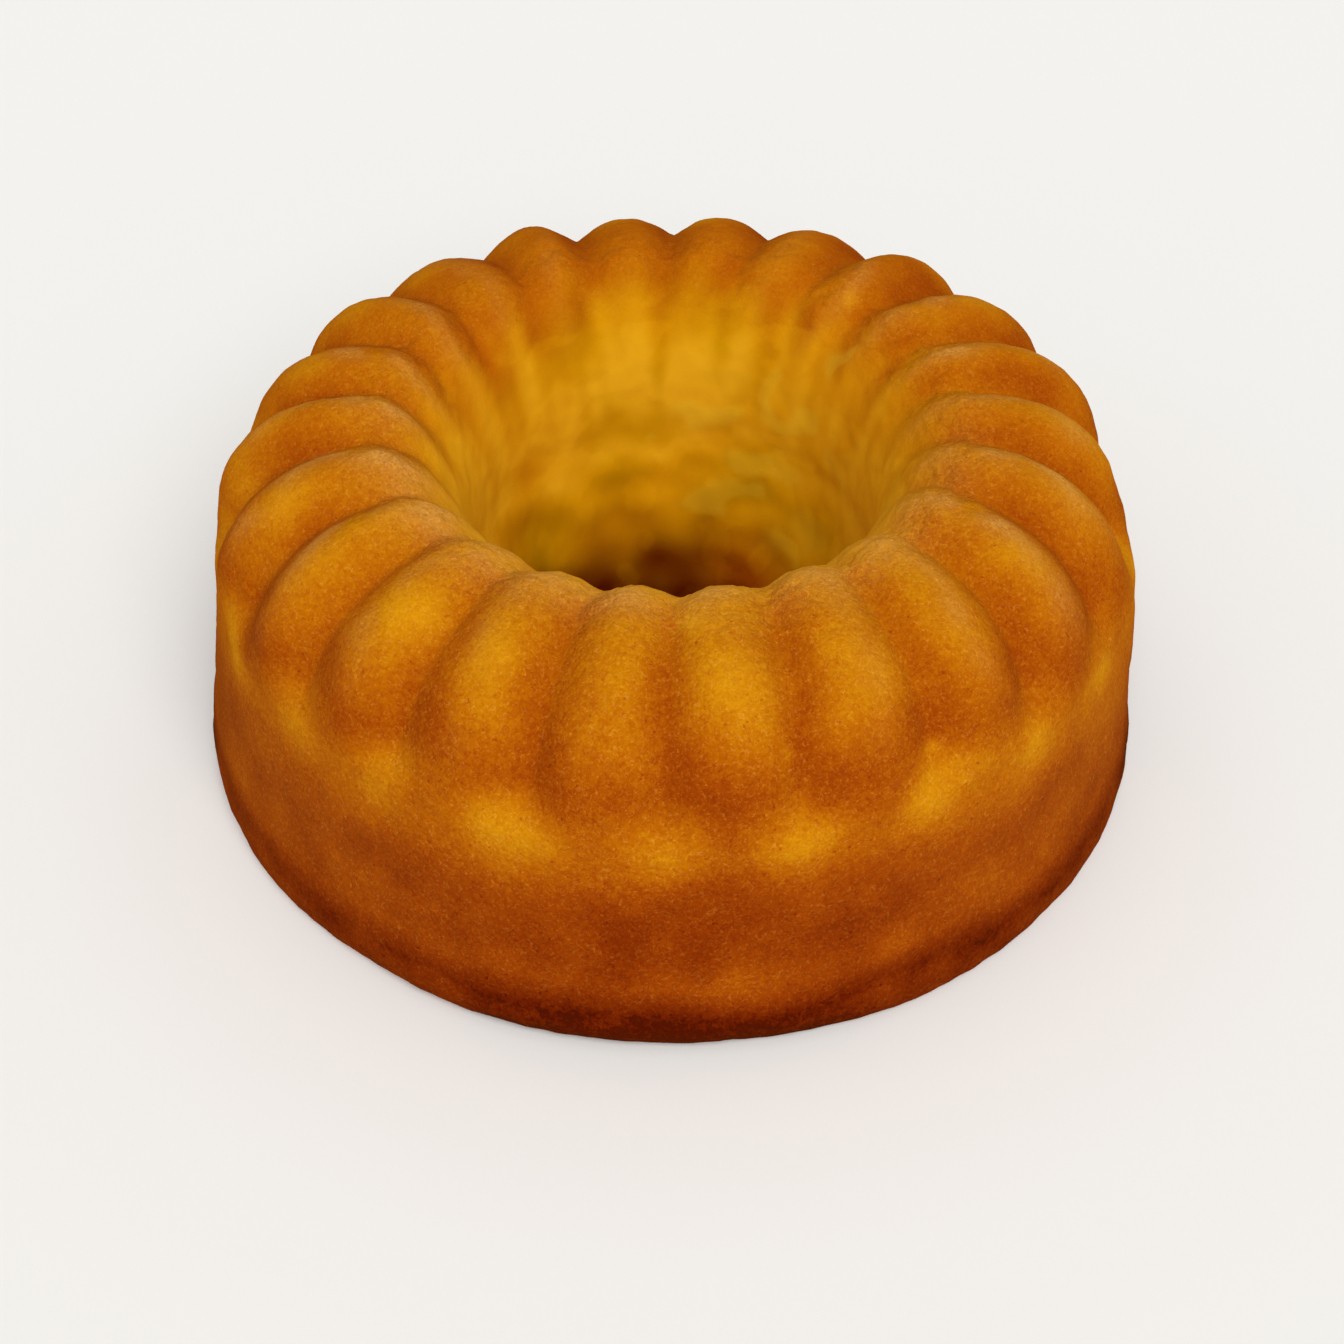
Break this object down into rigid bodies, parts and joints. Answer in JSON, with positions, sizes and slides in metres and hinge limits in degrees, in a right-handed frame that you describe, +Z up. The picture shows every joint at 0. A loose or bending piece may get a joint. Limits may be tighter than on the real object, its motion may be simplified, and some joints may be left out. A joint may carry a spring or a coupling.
{
  "type": "kugelhopf ring cake",
  "caption": "Tall golden ring cake from a fluted pan: rounded lobes swirl gently over the crown into an open centre hole, above a smooth wall.",
  "frame": {"origin": "centre of the flat underside, on the axis of the hole", "axes": "+Z up along the axis of the ring and its hole; -Y towards the camera of the picture, with a groove between two lobes facing it"},
  "size_m": [0.2356, 0.2356, 0.0952],
  "materials": {
    "crust": "matte"
  },
  "bodies": {
    "root": {"cake": "crust"}
  },
  "joints": []
}
